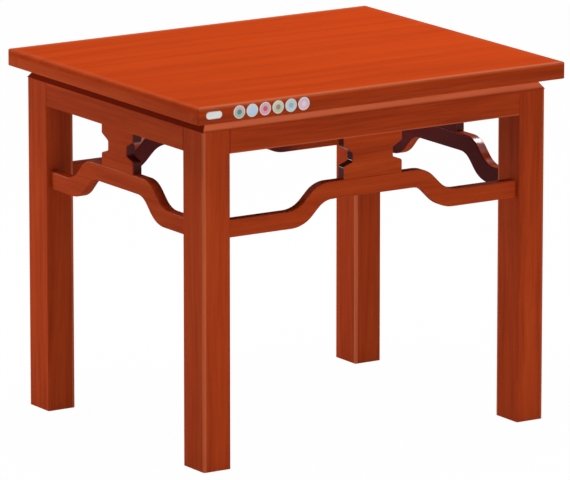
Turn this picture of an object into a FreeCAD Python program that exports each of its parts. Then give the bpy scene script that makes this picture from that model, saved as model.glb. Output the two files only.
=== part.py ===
import FreeCAD, Part
import Sketcher
import os

# Automatic mahjong table with its dining cover on. Millimetres, floor at z = 0, front at -Y, long side on X.

doc = FreeCAD.newDocument("AutomaticMahjongTable")
sheet = doc.addObject("Spreadsheet::Sheet", "Sizes")

# Driving sizes in millimetres
driving = {
    "table_height": 760,
    "cover_length": 891,
    "cover_width": 745,
    "cover_panel_thick": 12,
    "cover_edge_drop": 23,
    "cover_edge_gap": 2,
    "cover_overhang": 29.5,
    "cover_corner_round": 5,
    "cover_top_round": 3,
    "cover_under_round": 2,
    "cover_pad_length": 30,
    "cover_pad_width": 14,
    "cover_pad_thick": 1.5,
    "cover_pad_offset": 260,
    "rim_reveal": 23,
    "rim_bevel_rise": 17,
    "rim_bevel_inset": 12,
    "rim_width": 46,
    "rim_ledge_width": 12,
    "rim_ledge_height": 13,
    "rim_round": 2,
    "apron_height": 49,
    "apron_thick": 36,
    "apron_round": 2,
    "apron_tenon_length": 24,
    "apron_tenon_thick": 12,
    "apron_tenon_shoulder": 8,
    "leg_along": 64,
    "leg_across": 77,
    "leg_corner_round": 5,
    "leg_edge_round": 2.5,
    "glide_radius": 16,
    "glide_height": 2,
    "strut_height": 88,
    "stretcher_height": 37,
    "stretcher_thick": 22,
    "stretcher_recess_front": 13,
    "stretcher_recess_side": 8,
    "stretcher_round": 2.5,
    "stretcher_tenon_length": 24,
    "stretcher_tenon_thick": 10,
    "stretcher_tenon_shoulder": 6,
    "tenon_gap": 0.2,
    "hump_rise": 50.5,
    "hump_under_front": 142,
    "hump_over_front": 157,
    "hump_under_side": 123,
    "hump_over_side": 150,
    "hump_under_crest": 48,
    "hump_under_foot": 72,
    "hump_over_crest": 60,
    "hump_over_foot": 60,
    "strut_half_front": 71,
    "strut_half_side": 61,
    "strut_neck_front": 49,
    "strut_neck_side": 36,
    "strut_round": 2,
    "strut_corner_round": 5,
    "badge_thick": 0.6,
    "badge_drop": 16.5,
    "badge_radius": 13.5,
    "badge_inset": 96.5,
    "badge_pitch": 30.7,
    "plate_inset": 36.9,
    "plate_half_length": 18.8,
    "plate_half_height": 7.7,
    "deck_thick": 8,
    "deck_gap": 1,
    "felt_thick": 1,
    "tray_space": 5,
    "tray_depth": 81,
    "tray_wall": 1.5,
    "tray_flange": 14,
    "screw_radius": 2,
    "screw_head_radius": 4,
    "screw_head_height": 2.5,
    "screw_gap": 0.2,
    "screw_deck_bite": 5,
    "tray_screw_inset": 110,
    "rim_screw_inset": 62,
    "drum_radius": 140,
    "drum_wall_thick": 3,
    "drum_height": 54,
    "drum_port_width": 30,
    "drum_port_sill": 8,
    "column_radius": 20,
    "column_gap": 4.5,
    "column_flange_radius": 34,
    "column_flange_thick": 8,
    "running_gap": 0.05,
    "slide_gap": 0.3,
    "disc_gap": 5,
    "disc_thick": 5,
    "disc_level": 15,
    "disc_hub_radius": 31,
    "disc_hub_height": 16,
    "disc_skirt_inset": 25,
    "disc_skirt_thick": 4,
    "disc_skirt_drop": 10,
    "disc_fin_start": 45,
    "disc_fin_inset": 15,
    "disc_fin_width": 6,
    "disc_fin_height": 8,
    "wheel_radius": 30,
    "wheel_width": 9,
    "wheel_lift": 3,
    "motor_radius": 28,
    "motor_length": 48,
    "motor_plate": 70,
    "motor_plate_thick": 4,
    "motor_shaft_radius": 4,
    "motor_hole_gap": 3,
    "console_radius": 106,
    "console_gap": 2.5,
    "console_thick": 5,
    "console_round": 1.5,
    "console_body_radius": 72,
    "console_body_depth": 29,
    "console_wall": 2,
    "console_stem_radius": 15,
    "console_stem_gap": 14.5,
    "window_radius": 46,
    "window_thick": 3,
    "window_ledge": 4,
    "dice_depth": 13,
    "die_edge": 12,
    "die_round": 1.6,
    "die_spacing": 18,
    "button_radius": 8,
    "button_flange_radius": 9.2,
    "button_flange_thick": 2,
    "button_height": 10,
    "button_proud": 1,
    "well_space_long": 35,
    "well_space_short": 40,
    "lift_length": 380,
    "lift_width": 34,
    "lift_thick": 5,
    "lift_travel": 32,
    "lift_floor_gap": 1.5,
    "lift_stop_gap": 3,
    "slot_gap": 2,
    "post_radius": 5,
    "post_spacing": 240,
    "rod_radius": 6,
    "guide_radius": 9,
    "actuator_radius": 15,
    "pickup_wall_gap": 1,
    "pickup_level": 33,
    "pickup_radius": 20,
    "pickup_width": 20,
    "pickup_gap": 2,
    "pickup_shaft_radius": 3,
    "pickup_motor_radius": 11,
    "pickup_motor_length": 32,
    "pickup_foot": 14,
    "chute_gap": 4,
    "chute_length": 62,
    "chute_width": 25,
    "chute_thick": 2,
    "chute_fence_length": 20,
    "chute_fence_height": 14,
    "chute_level": 48,
    "chute_foot": 10,
    "supply_length": 110,
    "supply_width": 50,
    "supply_height": 40,
    "supply_space": 2,
    "supply_round": 2,
    "gland_radius": 8,
    "gland_bore_radius": 4,
    "gland_length": 12,
    "gland_inset": 28,
    "switch_width": 13,
    "switch_length": 19,
    "switch_height": 11,
    "switch_gap": 1,
    "switch_proud": 3.5,
    "switch_axle_radius": 1.5,
    "switch_axle_length": 2,
    "switch_inset": 26,
    "board_length": 120,
    "board_width": 46,
    "board_thick": 1.6,
    "board_drop": 8,
    "board_post_radius": 3,
    "board_post_inset": 6,
    "chip_length": 26,
    "chip_width": 18,
    "chip_height": 14,
}

for row, (name, value) in enumerate(driving.items(), start=1):
    sheet.set(f"A{row}", name)
    sheet.set(f"B{row}", str(value))
    sheet.setAlias(f"B{row}", name)
doc.recompute()


class Size:
    # A length held both as a formula on the sheet and as its value
    def __init__(self, text, value):
        self.text = text
        self.value = value

    def __add__(self, other):
        other = as_size(other)
        return Size(f"({self.text} + {other.text})", self.value + other.value)

    def __sub__(self, other):
        other = as_size(other)
        return Size(f"({self.text} - {other.text})", self.value - other.value)

    def __mul__(self, other):
        other = as_size(other)
        return Size(f"({self.text} * {other.text})", self.value * other.value)

    def __truediv__(self, other):
        other = as_size(other)
        return Size(f"({self.text} / {other.text})", self.value / other.value)

    def __neg__(self):
        return Size(f"(-1 * {self.text})", -self.value)

    __radd__ = __add__
    __rmul__ = __mul__


def as_size(value):
    if isinstance(value, Size):
        return value
    return Size(repr(value), float(value))


class Sizes:
    pass


s = Sizes()
for name in driving:
    setattr(s, name, Size(f"Sizes.{name}", float(sheet.get(name))))

vector = FreeCAD.Vector
tolerance = 1e-4
up = vector(0, 0, 1)
nodes = {}


def bind(thing, prop, size):
    thing.setExpression(prop, as_size(size).text)


def turned(angle, axis=up):
    return FreeCAD.Placement(vector(0, 0, 0), FreeCAD.Rotation(axis, angle))


def place(thing, point, angle=0, axis=up):
    thing.Placement = turned(angle, axis)
    for letter, size in zip("xyz", point):
        bind(thing, f"Placement.Base.{letter}", size)


def new_body(label):
    body = doc.addObject("PartDesign::Body", label)
    body.Label = label
    return body


def keep(label, thing):
    thing.Label = label
    nodes[label] = thing
    return thing


def add_box(body, low, high, cut=False):
    kind = "PartDesign::SubtractiveBox" if cut else "PartDesign::AdditiveBox"
    feature = body.newObject(kind, "Pocket" if cut else "Block")
    for prop, start, end in zip(("Length", "Width", "Height"), low, high):
        bind(feature, prop, as_size(end) - start)
    place(feature, low)
    feature.recompute()
    return feature


def add_turned_box(body, corner, lengths, angle, cut=True):
    kind = "PartDesign::SubtractiveBox" if cut else "PartDesign::AdditiveBox"
    feature = body.newObject(kind, "Mitre" if cut else "Rib")
    for prop, length in zip(("Length", "Width", "Height"), lengths):
        bind(feature, prop, length)
    place(feature, corner, angle)
    feature.recompute()
    return feature


def add_round(body, foot, radius, height, cut=False, axis="z"):
    kind = "PartDesign::SubtractiveCylinder" if cut else "PartDesign::AdditiveCylinder"
    feature = body.newObject(kind, "Bore" if cut else "Boss")
    bind(feature, "Radius", radius)
    bind(feature, "Height", height)
    ways = {"z": (0, up), "y": (-90, vector(1, 0, 0)), "x": (90, vector(0, 1, 0))}
    place(feature, foot, *ways[axis])
    feature.recompute()
    return feature


def pick_edges(shape, test):
    return [f"Edge{index}" for index, edge in enumerate(shape.Edges, start=1) if test(edge)]


def soften(body, base, radius, test, kind="Fillet"):
    feature = body.newObject(f"PartDesign::{kind}", "Softened")
    feature.Base = (base, pick_edges(base.Shape, test))
    bind(feature, "Radius" if kind == "Fillet" else "Size", radius)
    feature.recompute()
    return feature


def near(first, second):
    return abs(first - second) < tolerance


def along(edge, axis):
    box = edge.BoundBox
    spans = {"x": box.XLength, "y": box.YLength, "z": box.ZLength}
    own = spans.pop(axis)
    return own > tolerance and all(span < tolerance for span in spans.values())


def at(edge, **places):
    middle = edge.CenterOfMass
    return all(near(getattr(middle, key), as_size(size).value) for key, size in places.items())


def outline(body, plane, points):
    # A closed line through points (across, up), each held by two sizes from the sheet
    sketch = body.newObject("Sketcher::SketchObject", "Outline")
    own = [item for item in body.Origin.OriginFeatures if item.Role == plane][0]
    sketch.AttachmentSupport = [(own, "")]
    sketch.MapMode = "FlatFace"
    flat = [vector(as_size(across).value, as_size(height).value, 0) for across, height in points]
    count = len(points)
    for index in range(count):
        sketch.addGeometry(Part.LineSegment(flat[index], flat[(index + 1) % count]))
    for index, (across, height) in enumerate(points):
        sketch.addConstraint(Sketcher.Constraint("Coincident", (index - 1) % count, 2, index, 1))
        for kind, size in (("DistanceX", across), ("DistanceY", height)):
            size = as_size(size)
            spot = sketch.addConstraint(Sketcher.Constraint(kind, -1, 1, index, 1, size.value))
            sketch.setExpression(f"Constraints[{spot}]", size.text)
    sketch.recompute()
    return sketch


def pad(body, sketch, length):
    feature = body.newObject("PartDesign::Pad", "Pad")
    feature.Profile = sketch
    feature.SideType = "Symmetric"
    bind(feature, "Length", length)
    sketch.Visibility = False
    feature.recompute()
    return feature


def group(label, bodies):
    compound = doc.addObject("Part::Compound", label)
    compound.Links = bodies
    return keep(label, compound)


# Levels
half_length = s.cover_length / 2
half_width = s.cover_width / 2
frame_x = half_length - s.cover_overhang
frame_y = half_width - s.cover_overhang
panel_bottom = s.table_height - s.cover_panel_thick
cover_bottom = panel_bottom - s.cover_edge_drop
rim_top = panel_bottom - s.cover_pad_thick
apron_top = cover_bottom - s.rim_reveal
apron_bottom = apron_top - s.apron_height
deck_bottom = apron_top + s.rim_ledge_height
deck_top = deck_bottom + s.deck_thick
felt_top = deck_top + s.felt_thick
tray_bottom = deck_bottom - s.tray_depth
tray_floor = tray_bottom + s.tray_wall
strut_bottom = apron_bottom - s.strut_height
stretcher_low = strut_bottom - s.stretcher_height - s.hump_rise

# Plan of the machine, from the rim inwards
lip_x = frame_x - s.rim_width - s.rim_ledge_width
lip_y = frame_y - s.rim_width - s.rim_ledge_width
supply_x = lip_x - s.supply_space - s.supply_width / 2
tray_x = supply_x - s.supply_width / 2 - s.supply_space - s.tray_flange
tray_y = lip_y - s.tray_space - s.tray_flange
well_long = tray_y - s.well_space_long
well_short = tray_x - s.well_space_short

# The four sides: turn about the middle, distance out to the face, half length, leg width
sides = {
    "front": (0, frame_y, frame_x, s.leg_along),
    "right": (90, frame_x, frame_y, s.leg_across),
    "rear": (180, frame_y, frame_x, s.leg_along),
    "left": (270, frame_x, frame_y, s.leg_across),
}


def slab(sign, outer, thick):
    # Low and high of a layer of this thickness whose outer face is at sign times outer
    if sign > 0:
        return outer - thick, outer
    return -outer, thick - outer


# Legs with mortises for the aprons and stretchers
apron_middle = s.apron_thick / 2
front_middle = s.stretcher_recess_front + s.stretcher_thick / 2
side_middle = s.stretcher_recess_side + s.stretcher_thick / 2
apron_mortise = s.apron_tenon_thick / 2 + s.tenon_gap
stretcher_mortise = s.stretcher_tenon_thick / 2 + s.tenon_gap
apron_tenon_low = apron_bottom + s.apron_tenon_shoulder
apron_tenon_high = apron_top - s.apron_tenon_shoulder
stretcher_tenon_low = stretcher_low + s.stretcher_tenon_shoulder
stretcher_tenon_high = stretcher_low + s.stretcher_height - s.stretcher_tenon_shoulder


def make_leg(label, sign_x, sign_y):
    body = new_body(label)
    low_x, high_x = slab(sign_x, frame_x, s.leg_along)
    low_y, high_y = slab(sign_y, frame_y, s.leg_across)
    base = add_box(body, (low_x, low_y, s.glide_height), (high_x, high_y, apron_top))
    outer_x = frame_x * sign_x
    outer_y = frame_y * sign_y
    base = soften(body, base, s.leg_corner_round, lambda e: along(e, "z") and at(e, x=outer_x, y=outer_y))
    inner_x = (frame_x - s.leg_along) * sign_x
    inner_y = (frame_y - s.leg_across) * sign_y

    def other_arris(edge):
        spots = ((inner_x, inner_y), (inner_x, outer_y), (outer_x, inner_y))
        return along(edge, "z") and any(at(edge, x=spot[0], y=spot[1]) for spot in spots)

    base = soften(body, base, s.leg_edge_round, other_arris)
    rows = (
        (apron_middle, apron_middle, apron_mortise, s.apron_tenon_length, apron_tenon_low, apron_tenon_high),
        (front_middle, side_middle, stretcher_mortise, s.stretcher_tenon_length,
         stretcher_tenon_low, stretcher_tenon_high),
    )
    for along_y, along_x, half, length, low_z, high_z in rows:
        deep = length + s.tenon_gap
        near_x, far_x = slab(sign_x, frame_x - s.leg_along + deep, deep)
        near_y, far_y = slab(sign_y, frame_y - along_y + half, half * 2)
        low_z = low_z - s.tenon_gap
        high_z = high_z + s.tenon_gap
        add_box(body, (near_x, near_y, low_z), (far_x, far_y, high_z), cut=True)
        near_y, far_y = slab(sign_y, frame_y - s.leg_across + deep, deep)
        near_x, far_x = slab(sign_x, frame_x - along_x + half, half * 2)
        add_box(body, (near_x, near_y, low_z), (far_x, far_y, high_z), cut=True)
    keep(label, body)


for fore, sign_y in (("front", -1), ("rear", 1)):
    for flank, sign_x in (("left", -1), ("right", 1)):
        make_leg(f"leg_{fore}_{flank}", sign_x, sign_y)

glides = []
for sign_y in (-1, 1):
    for sign_x in (-1, 1):
        glide = new_body("Glide")
        middle_x = (frame_x - s.leg_along / 2) * sign_x
        middle_y = (frame_y - s.leg_across / 2) * sign_y
        add_round(glide, (middle_x, middle_y, 0), s.glide_radius, s.glide_height)
        glides.append(glide)
group("foot_glides", glides)


# Aprons, tenoned into the legs
def make_apron(label, turn, out, half, leg):
    body = new_body(label)
    end = half - leg
    base = add_box(body, (-end, -out, apron_bottom), (end, s.apron_thick - out, apron_top))
    inner_face = s.apron_thick - out
    base = soften(
        body, base, s.apron_round,
        lambda e: along(e, "x") and (at(e, y=-out, z=apron_bottom) or at(e, y=inner_face, z=apron_bottom)),
    )
    middle = apron_middle - out
    thick = s.apron_tenon_thick / 2
    tip = end + s.apron_tenon_length
    add_box(body, (-tip, middle - thick, apron_tenon_low), (tip, middle + thick, apron_tenon_high))
    place(body, (0, 0, 0), turn)
    keep(label, body)


# Humpback stretchers, tenoned into the legs: bent at 45 degrees, each bend rounded
def make_stretcher(label, turn, out, half, leg, middle, under, over):
    body = new_body(label)
    end = half - leg
    low = stretcher_low
    high = low + s.stretcher_height
    slope = s.hump_rise / 2
    right = [
        (under - slope, low + s.hump_rise),
        (under + slope, low),
        (end, low),
        (end, high),
        (over + slope, high),
        (over - slope, high + s.hump_rise),
    ]
    left = [(-across, height) for across, height in reversed(right)]
    base = pad(body, outline(body, "XZ_Plane", right + left), s.stretcher_thick)
    bends = (
        (under - slope, low + s.hump_rise, s.hump_under_crest),
        (under + slope, low, s.hump_under_foot),
        (over + slope, high, s.hump_over_foot),
        (over - slope, high + s.hump_rise, s.hump_over_crest),
    )
    for across, height, radius in bends:
        base = soften(
            body, base, radius,
            lambda e: along(e, "y") and (at(e, x=across, z=height) or at(e, x=-across, z=height)),
        )
    face = s.stretcher_thick.value / 2
    limit = end.value

    def arris(edge):
        box = edge.BoundBox
        flat = box.YLength < tolerance and near(abs(edge.CenterOfMass.y), face)
        return flat and not (along(edge, "z") and near(abs(edge.CenterOfMass.x), limit))

    soften(body, base, s.stretcher_round, arris)
    thick = s.stretcher_tenon_thick / 2
    for sign in (-1, 1):
        near_x, far_x = slab(sign, end + s.stretcher_tenon_length, s.stretcher_tenon_length)
        add_box(body, (near_x, -thick, stretcher_tenon_low), (far_x, thick, stretcher_tenon_high))
    way = out - middle
    spots = {0: (0, -way, 0), 90: (way, 0, 0), 180: (0, way, 0), 270: (-way, 0, 0)}
    place(body, spots[turn], turn)
    keep(label, body)


# Carved struts between the stretcher humps and the aprons
lower_lip_share = 0.30
neck_low_share = 0.39
neck_high_share = 0.62
upper_lip_share = 0.76


def make_strut(label, turn, out, middle, half, neck):
    body = new_body(label)
    low = strut_bottom
    tall = s.strut_height
    right = [
        (half, low),
        (half, low + tall * lower_lip_share),
        (neck, low + tall * neck_low_share),
        (neck, low + tall * neck_high_share),
        (half, low + tall * upper_lip_share),
        (half, apron_bottom),
    ]
    left = [(-across, height) for across, height in reversed(right)]
    base = pad(body, outline(body, "XZ_Plane", right + left), s.stretcher_thick)

    def carved(edge):
        middle = edge.CenterOfMass
        inside = low.value + tolerance < middle.z < apron_bottom.value - tolerance
        return along(edge, "y") and inside

    base = soften(body, base, s.strut_corner_round, carved)
    face = s.stretcher_thick.value / 2

    def arris(edge):
        middle = edge.CenterOfMass
        inside = low.value + tolerance < middle.z < apron_bottom.value - tolerance
        return edge.BoundBox.YLength < tolerance and near(abs(middle.y), face) and inside

    soften(body, base, s.strut_round, arris)
    way = out - middle
    spots = {0: (0, -way, 0), 90: (way, 0, 0), 180: (0, way, 0), 270: (-way, 0, 0)}
    place(body, spots[turn], turn)
    keep(label, body)


# Rim rails: bevelled outside, mitred at the corners, with a ledge for the deck
def make_rim(label, turn, out, half):
    body = new_body(label)
    inner = s.rim_width - out
    lip = inner + s.rim_ledge_width
    bevel = s.rim_bevel_inset - out
    points = [
        (-out, apron_top),
        (lip, apron_top),
        (lip, deck_bottom),
        (inner, deck_bottom),
        (inner, rim_top),
        (bevel, rim_top),
        (bevel, apron_top + s.rim_bevel_rise),
    ]
    base = pad(body, outline(body, "YZ_Plane", points), half * 2)
    base = soften(body, base, s.rim_round, lambda e: along(e, "x") and at(e, y=inner, z=rim_top))
    deep = (s.rim_width + s.rim_ledge_width) * 2
    tall = rim_top - apron_top
    add_turned_box(body, (half, -out, apron_top), (deep, deep, tall), 45)
    add_turned_box(body, (-half, -out, apron_top), (deep, deep, tall), 45)
    place(body, (0, 0, 0), turn)
    keep(label, body)


for name, (turn, out, half, leg) in sides.items():
    make_apron(f"apron_{name}", turn, out, half, leg)
    if turn in (0, 180):
        hump = (front_middle, s.hump_under_front, s.hump_over_front)
        make_stretcher(f"stretcher_{name}", turn, out, half, leg, *hump)
        make_strut(f"strut_{name}", turn, out, front_middle, s.strut_half_front, s.strut_neck_front)
    else:
        hump = (side_middle, s.hump_under_side, s.hump_over_side)
        make_stretcher(f"stretcher_{name}", turn, out, half, leg, *hump)
        make_strut(f"strut_{name}", turn, out, side_middle, s.strut_half_side, s.strut_neck_side)
    make_rim(f"rim_{name}", turn, out, half)

# Cover: veneered panel on four edge rails that drop round the rim
panel = new_body("cover_panel")
base = add_box(panel, (-half_length, -half_width, panel_bottom), (half_length, half_width, s.table_height))
base = soften(panel, base, s.cover_corner_round, lambda e: along(e, "z"))
top_value = s.table_height.value
soften(
    panel, base, s.cover_top_round,
    lambda e: near(e.BoundBox.ZMin, top_value) and near(e.BoundBox.ZMax, top_value),
)
keep("cover_panel", panel)

edge_width = s.cover_overhang + s.rim_bevel_inset - s.cover_edge_gap
edge_inner_x = half_length - edge_width
edge_inner_y = half_width - edge_width
for name, sign in (("front", -1), ("rear", 1)):
    body = new_body(f"cover_edge_{name}")
    low_y, high_y = slab(sign, half_width, edge_width)
    base = add_box(body, (-half_length, low_y, cover_bottom), (half_length, high_y, panel_bottom))
    outer_y = half_width * sign
    base = soften(body, base, s.cover_corner_round, lambda e: along(e, "z") and at(e, y=outer_y))
    soften(body, base, s.cover_under_round, lambda e: along(e, "x") and at(e, y=outer_y, z=cover_bottom))
    keep(f"cover_edge_{name}", body)
for name, sign in (("left", -1), ("right", 1)):
    body = new_body(f"cover_edge_{name}")
    low_x, high_x = slab(sign, half_length, edge_width)
    base = add_box(body, (low_x, -edge_inner_y, cover_bottom), (high_x, edge_inner_y, panel_bottom))
    outer_x = half_length * sign
    soften(body, base, s.cover_under_round, lambda e: along(e, "y") and at(e, x=outer_x, z=cover_bottom))
    keep(f"cover_edge_{name}", body)

# Felt pads between the cover panel and the rim
rim_line = s.rim_bevel_inset + (s.rim_width - s.rim_bevel_inset) / 2
pads = []
for sign_out in (-1, 1):
    for sign_way in (-1, 1):
        long_x = s.cover_pad_offset * sign_way
        long_y = (frame_y - rim_line) * sign_out
        short_x = (frame_x - rim_line) * sign_out
        short_y = s.cover_pad_offset / 2 * sign_way
        wide = s.cover_pad_length / 2
        slim = s.cover_pad_width / 2
        for middle_x, middle_y, size_x, size_y in ((long_x, long_y, wide, slim), (short_x, short_y, slim, wide)):
            body = new_body("CoverPad")
            low = (middle_x - size_x, middle_y - size_y, rim_top)
            add_box(body, low, (middle_x + size_x, middle_y + size_y, panel_bottom))
            pads.append(body)
group("cover_pads", pads)

# Blank oval plate and six plain badges on the front edge
front_face = -half_width
badge_level = s.table_height - s.badge_drop
plate_x = s.plate_inset - half_length
plate = new_body("oval_plate")
straight = s.plate_half_length - s.plate_half_height
low = (plate_x - straight, front_face - s.badge_thick, badge_level - s.plate_half_height)
high = (plate_x + straight, front_face, badge_level + s.plate_half_height)
add_box(plate, low, high)
for sign in (-1, 1):
    spot = (plate_x + straight * sign, front_face - s.badge_thick, badge_level)
    add_round(plate, spot, s.plate_half_height, s.badge_thick, axis="y")
keep("oval_plate", plate)

badges = []
for index in range(6):
    body = new_body("Badge")
    spot = (s.badge_inset - half_length + s.badge_pitch * index, front_face - s.badge_thick, badge_level)
    add_round(body, spot, s.badge_radius, s.badge_thick, axis="y")
    badges.append(body)
group("round_badges", badges)

# Deck and felt with the console hole and the four tile slots
hole_radius = s.console_radius + s.console_gap
slot_half = s.lift_length / 2 + s.slot_gap
slot_side = s.lift_width / 2 + s.slot_gap
flange_y = tray_y + s.tray_flange / 2
flange_x = tray_x + s.tray_flange / 2
deck_x = frame_x - s.rim_width - s.deck_gap
deck_y = frame_y - s.rim_width - s.deck_gap
ledge_y = frame_y - s.rim_width - s.rim_ledge_width / 2
ledge_x = frame_x - s.rim_width - s.rim_ledge_width / 2
tray_spots = []
rim_spots = []
for sign_x in (-1, 1):
    for sign_y in (-1, 1):
        tray_spots.append(((tray_x - s.tray_screw_inset) * sign_x, flange_y * sign_y))
        tray_spots.append((flange_x * sign_x, (tray_y - s.tray_screw_inset) * sign_y))
        rim_spots.append(((frame_x - s.leg_along - s.rim_screw_inset) * sign_x, ledge_y * sign_y))
        rim_spots.append((ledge_x * sign_x, (frame_y - s.leg_across - s.rim_screw_inset) * sign_y))


def make_sheet(label, low_z, high_z):
    body = new_body(label)
    add_box(body, (-deck_x, -deck_y, low_z), (deck_x, deck_y, high_z))
    add_round(body, (0, 0, low_z), hole_radius, high_z - low_z, cut=True)
    for sign in (-1, 1):
        middle = well_long * sign
        low = (-slot_half, middle - slot_side, low_z)
        add_box(body, low, (slot_half, middle + slot_side, high_z), cut=True)
        middle = well_short * sign
        low = (middle - slot_side, -slot_half, low_z)
        add_box(body, low, (middle + slot_side, slot_half, high_z), cut=True)
    keep(label, body)
    return body


deck = make_sheet("deck_board", deck_bottom, deck_top)
felt = make_sheet("play_felt", deck_top, felt_top)
hole = s.screw_radius + s.screw_gap
for spot in tray_spots + rim_spots:
    add_round(deck, (spot[0], spot[1], deck_bottom), hole, s.screw_deck_bite + s.screw_gap, cut=True)
for name, (turn, out, half, leg) in sides.items():
    for sign in (-1, 1):
        line = s.rim_width + s.rim_ledge_width / 2 - out
        spot = ((half - leg - s.rim_screw_inset) * sign, line, apron_top)
        add_round(nodes[f"rim_{name}"], spot, hole, s.rim_ledge_height, cut=True)

# Base tray: a folded pan hung by its flange under the deck
tray = new_body("base_tray")
add_box(tray, (-tray_x, -tray_y, tray_bottom), (tray_x, tray_y, deck_bottom))
wide_x = tray_x + s.tray_flange
wide_y = tray_y + s.tray_flange
add_box(tray, (-wide_x, -wide_y, deck_bottom - s.tray_wall), (wide_x, wide_y, deck_bottom))
inner_x = tray_x - s.tray_wall
inner_y = tray_y - s.tray_wall
add_box(tray, (-inner_x, -inner_y, tray_floor), (inner_x, inner_y, deck_bottom), cut=True)
for spot in tray_spots:
    add_round(tray, (spot[0], spot[1], deck_bottom - s.tray_wall), hole, s.tray_wall, cut=True)
diagonal_share = 0.5 ** 0.5
disc_radius = s.drum_radius - s.disc_gap
skirt_radius = disc_radius - s.disc_skirt_inset
motor_line = skirt_radius - s.slide_gap - s.wheel_radius
motor_x = motor_line * diagonal_share
add_round(tray, (motor_x, motor_x, tray_bottom), s.motor_shaft_radius + s.motor_hole_gap, s.tray_wall, cut=True)
keep("base_tray", tray)

screws = []
for spots, seat in ((tray_spots, deck_bottom - s.tray_wall), (rim_spots, apron_top)):
    for spot in spots:
        body = new_body("Screw")
        add_round(body, (spot[0], spot[1], seat - s.screw_head_height), s.screw_head_radius, s.screw_head_height)
        shank = deck_bottom + s.screw_deck_bite - seat
        add_round(body, (spot[0], spot[1], seat), s.screw_radius, shank)
        screws.append(body)
group("machine_screws", screws)

# Shuffling drum: fixed wall with four ports, turning disc on the centre column
wall = new_body("drum_wall")
wall_outer = s.drum_radius + s.drum_wall_thick
add_round(wall, (0, 0, tray_floor), wall_outer, s.drum_height)
add_round(wall, (0, 0, tray_floor), s.drum_radius, s.drum_height, cut=True)
sill = tray_floor + s.drum_port_sill
for quarter in range(4):
    angle = 45 + 90 * quarter
    feature = wall.newObject("PartDesign::SubtractiveBox", "Port")
    bind(feature, "Length", s.drum_wall_thick * 4)
    bind(feature, "Width", s.drum_port_width)
    bind(feature, "Height", s.drum_height - s.drum_port_sill)
    sign_x = 1 if quarter in (0, 3) else -1
    sign_y = 1 if quarter in (0, 1) else -1
    inward = s.drum_radius - s.drum_wall_thick
    corner_x = inward * (sign_x * diagonal_share) + s.drum_port_width / 2 * (sign_y * diagonal_share)
    corner_y = inward * (sign_y * diagonal_share) - s.drum_port_width / 2 * (sign_x * diagonal_share)
    place(feature, (corner_x, corner_y, sill), angle)
    feature.recompute()
keep("drum_wall", wall)

console_bottom = felt_top - s.console_thick
cup_bottom = console_bottom - s.console_body_depth
column = new_body("centre_column")
column_height = cup_bottom - s.column_gap - tray_floor
add_round(column, (0, 0, tray_floor), s.column_radius, column_height)
add_round(column, (0, 0, tray_floor), s.column_flange_radius, s.column_flange_thick)
add_round(column, (0, 0, tray_floor), s.console_stem_radius + s.slide_gap, column_height, cut=True)
keep("centre_column", column)

disc = new_body("shuffle_disc")
disc_bottom = tray_floor + s.disc_level
hub_bottom = tray_floor + s.column_flange_thick + s.slide_gap
add_round(disc, (0, 0, disc_bottom), disc_radius, s.disc_thick)
add_round(disc, (0, 0, hub_bottom), s.disc_hub_radius, s.disc_hub_height)
skirt_outer = skirt_radius + s.disc_skirt_thick
skirt = disc.newObject("PartDesign::AdditiveCylinder", "Skirt")
bind(skirt, "Radius", skirt_outer)
bind(skirt, "Height", s.disc_skirt_drop)
place(skirt, (0, 0, disc_bottom - s.disc_skirt_drop))
skirt.recompute()
hollow = s.disc_skirt_drop
add_round(disc, (0, 0, disc_bottom - hollow), skirt_radius, hollow, cut=True)
add_round(disc, (0, 0, hub_bottom), s.disc_hub_radius, s.disc_hub_height)
bore = s.column_radius + s.running_gap
add_round(disc, (0, 0, hub_bottom), bore, s.disc_hub_height, cut=True)
fin_half = s.disc_fin_width / 2
fin_bottom = disc_bottom + s.disc_thick
low = (s.disc_fin_start, -fin_half, fin_bottom)
fin = add_box(disc, low, (disc_radius - s.disc_fin_inset, fin_half, fin_bottom + s.disc_fin_height))
fan = disc.newObject("PartDesign::PolarPattern", "Fins")
fan.Originals = [fin]
upright = [item for item in disc.Origin.OriginFeatures if item.Role == "Z_Axis"][0]
fan.Axis = (upright, [""])
fan.Angle = 360
fan.Occurrences = 6
disc.Tip = fan
fan.recompute()
keep("shuffle_disc", disc)

motor = new_body("drum_motor")
plate_half = s.motor_plate / 2
plate_bottom = tray_bottom - s.motor_plate_thick
add_box(motor, (motor_x - plate_half, motor_x - plate_half, plate_bottom),
        (motor_x + plate_half, motor_x + plate_half, tray_bottom))
add_round(motor, (motor_x, motor_x, plate_bottom - s.motor_length), s.motor_radius, s.motor_length)
wheel_bottom = tray_floor + s.wheel_lift
shaft = wheel_bottom + s.wheel_width - plate_bottom
add_round(motor, (motor_x, motor_x, plate_bottom), s.motor_shaft_radius, shaft)
keep("drum_motor", motor)

wheel = new_body("drum_drive_wheel")
add_round(wheel, (motor_x, motor_x, wheel_bottom), s.wheel_radius, s.wheel_width)
wheel_bore = s.motor_shaft_radius + s.running_gap
add_round(wheel, (motor_x, motor_x, wheel_bottom), wheel_bore, s.wheel_width, cut=True)
keep("drum_drive_wheel", wheel)

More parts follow.
